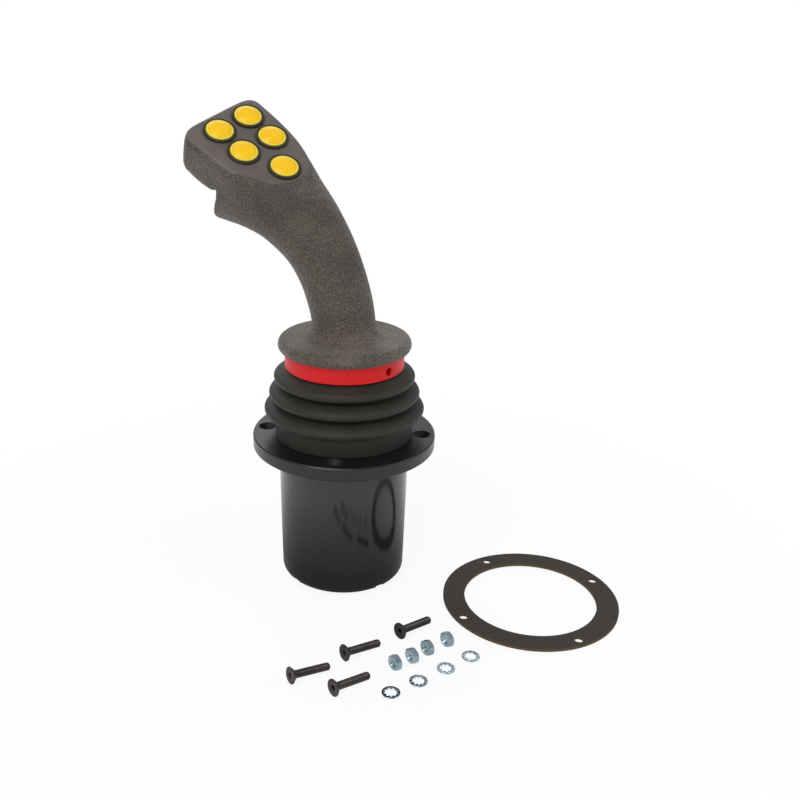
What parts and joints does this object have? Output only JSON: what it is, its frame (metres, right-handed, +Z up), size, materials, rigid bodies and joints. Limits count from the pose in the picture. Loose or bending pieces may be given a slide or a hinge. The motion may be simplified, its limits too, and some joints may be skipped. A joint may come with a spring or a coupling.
{
  "type": "industrial joystick",
  "caption": "Flanged two-axis industrial joystick with a rubber boot, a forward-leaning hand grip and push buttons on its sloping head.",
  "frame": {"origin": "centre of the base's underside, where it stands on a surface", "axes": "+Z up along the shaft at rest; +Y forward, away from the operator, square to the pitch axis; +X to the operator's right along the pitch axis"},
  "size_m": [0.1873, 0.2243, 0.2442],
  "materials": {
    "anodised_black": "black anodised, semi-gloss",
    "housing_black": "glossy black moulding",
    "inner_black": "matt black moulding",
    "steel": "machined steel",
    "zinc": "bright zinc plate",
    "black_oxide": "black oxide on steel",
    "brass": "machined brass",
    "board": "solder mask",
    "boot_rubber": "matt moulded rubber",
    "gasket_rubber": "matt sheet rubber",
    "grip": "pebbled soft-touch moulding",
    "face": "fine satin moulding",
    "bezel": "satin dark moulding",
    "cap_yellow": "satin yellow moulding",
    "collar_red": "satin red moulding"
  },
  "bodies": {
    "base": {"mounting_flange": "anodised_black", "lower_housing": "housing_black", "bottom_cover": "inner_black", "tie_screws": "steel", "connector_header": "inner_black", "connector_pins": "brass", "circuit_board": "board", "board_screws": "steel", "limit_gate": "steel", "gate_screws": "steel", "pitch_bushes": "brass", "pitch_sensor": "board", "pitch_spring": "steel", "boot": "boot_rubber", "mounting_gasket": "gasket_rubber", "mounting_screws": "black_oxide", "lock_washers": "zinc", "mounting_nuts": "zinc"},
    "gimbal": {"gimbal_ring": "steel", "pitch_pins": "steel", "pitch_magnet": "steel", "pitch_spring_arm": "steel", "roll_bushes": "brass", "roll_sensor": "board", "roll_spring": "steel"},
    "lever": {"lever_hub": "steel", "lever_shaft": "steel", "shaft_nut": "steel", "roll_pins": "steel", "roll_magnet": "steel", "roll_spring_arm": "steel", "boot_washer": "steel", "clamp_collar": "collar_red", "collar_screws": "black_oxide", "grip_insert": "brass", "grip_body": "grip", "face_plate": "face", "button_bezels": "bezel", "button_nuts": "steel", "button_switches": "inner_black", "button_springs": "steel"},
    "button_1": {"button_cap_1": "cap_yellow"},
    "button_2": {"button_cap_2": "cap_yellow"},
    "button_3": {"button_cap_3": "cap_yellow"},
    "button_4": {"button_cap_4": "cap_yellow"},
    "button_5": {"button_cap_5": "cap_yellow"}
  },
  "joints": [
    {"name": "pitch", "type": "hinge", "parent": "base", "child": "gimbal", "pos_m": [0, 0, 0.065], "axis": [1, 0, 0], "range_deg": [-20, 20], "stiffness_Nm_per_rad": 8, "deforming": ["boot", "pitch_spring"]},
    {"name": "roll", "type": "hinge", "parent": "gimbal", "child": "lever", "pos_m": [0, 0, 0.065], "axis": [0, 1, 0], "range_deg": [-20, 20], "stiffness_Nm_per_rad": 8, "deforming": ["boot", "roll_spring"]},
    {"name": "press_1", "type": "slide", "parent": "lever", "child": "button_1", "axis": [0.1905, 0.5408, -0.8193], "range_m": [0, 0.0014], "stiffness_N_per_m": 900, "springref_m": -0.001, "deforming": ["button_springs"]},
    {"name": "press_2", "type": "slide", "parent": "lever", "child": "button_2", "axis": [0.1905, 0.5408, -0.8193], "range_m": [0, 0.0014], "stiffness_N_per_m": 900, "springref_m": -0.001, "deforming": ["button_springs"]},
    {"name": "press_3", "type": "slide", "parent": "lever", "child": "button_3", "axis": [0.1905, 0.5408, -0.8193], "range_m": [0, 0.0014], "stiffness_N_per_m": 900, "springref_m": -0.001, "deforming": ["button_springs"]},
    {"name": "press_4", "type": "slide", "parent": "lever", "child": "button_4", "axis": [0.1905, 0.5408, -0.8193], "range_m": [0, 0.0014], "stiffness_N_per_m": 900, "springref_m": -0.001, "deforming": ["button_springs"]},
    {"name": "press_5", "type": "slide", "parent": "lever", "child": "button_5", "axis": [0.1905, 0.5408, -0.8193], "range_m": [0, 0.0014], "stiffness_N_per_m": 900, "springref_m": -0.001, "deforming": ["button_springs"]}
  ]
}
